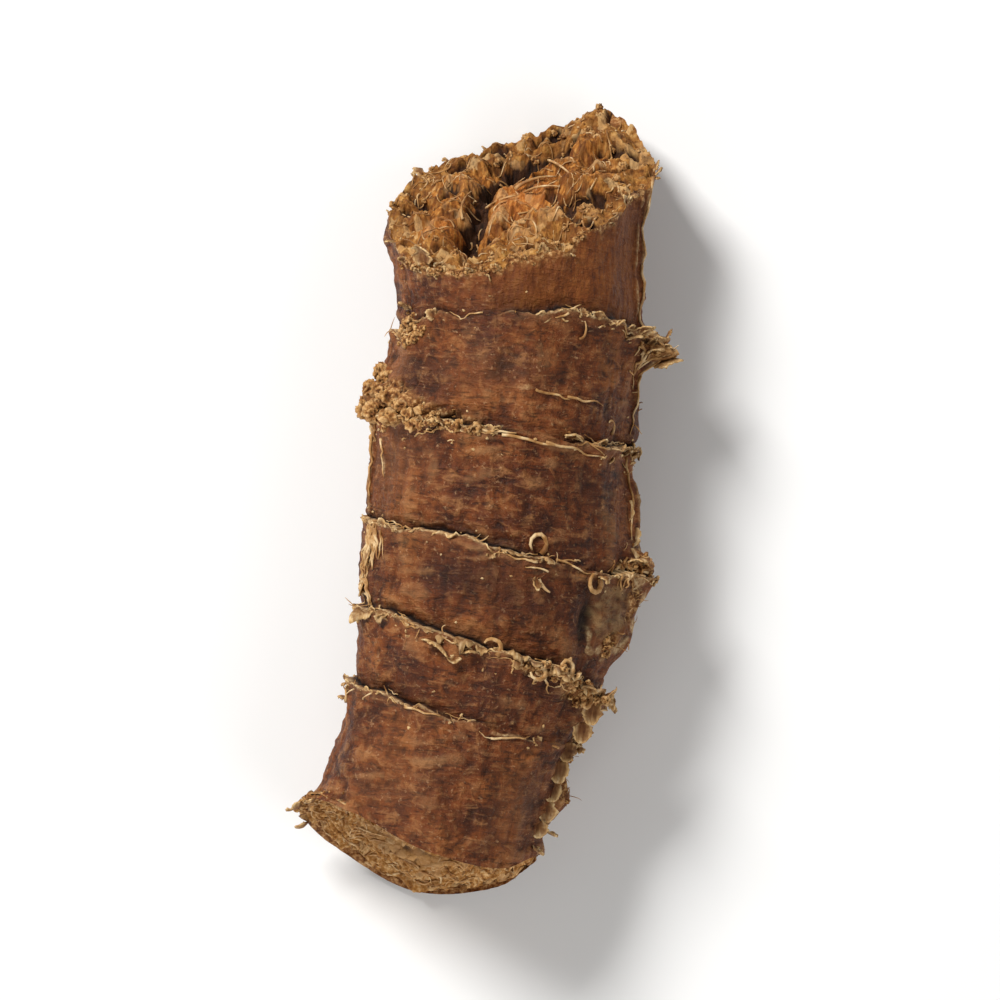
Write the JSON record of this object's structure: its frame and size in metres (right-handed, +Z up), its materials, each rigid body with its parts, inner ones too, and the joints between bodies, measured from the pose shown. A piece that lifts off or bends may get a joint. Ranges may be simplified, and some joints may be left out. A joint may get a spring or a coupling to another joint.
{
  "type": "dried galangal rhizome",
  "caption": "Dried ringed galangal rhizome, a woody spice piece with a snapped, fibrous end, an oblique sliced end, ragged leaf-scar rings and a small flat underneath on which it rests.",
  "frame": {"origin": "middle of the box round the piece, in plan, at the level of the surface that it rests on", "axes": "+Y along the piece towards its snapped end, +Z up from the flat that it rests on, +X to the right when it is seen from above with its snapped end away from the viewer"},
  "size_m": [0.0236, 0.0576, 0.0177],
  "materials": {
    "bark": "dry satin bark, red-brown, with pale ragged scale edges and golden fibre at both ends"
  },
  "bodies": {
    "root": {"rhizome": "bark"}
  },
  "joints": []
}
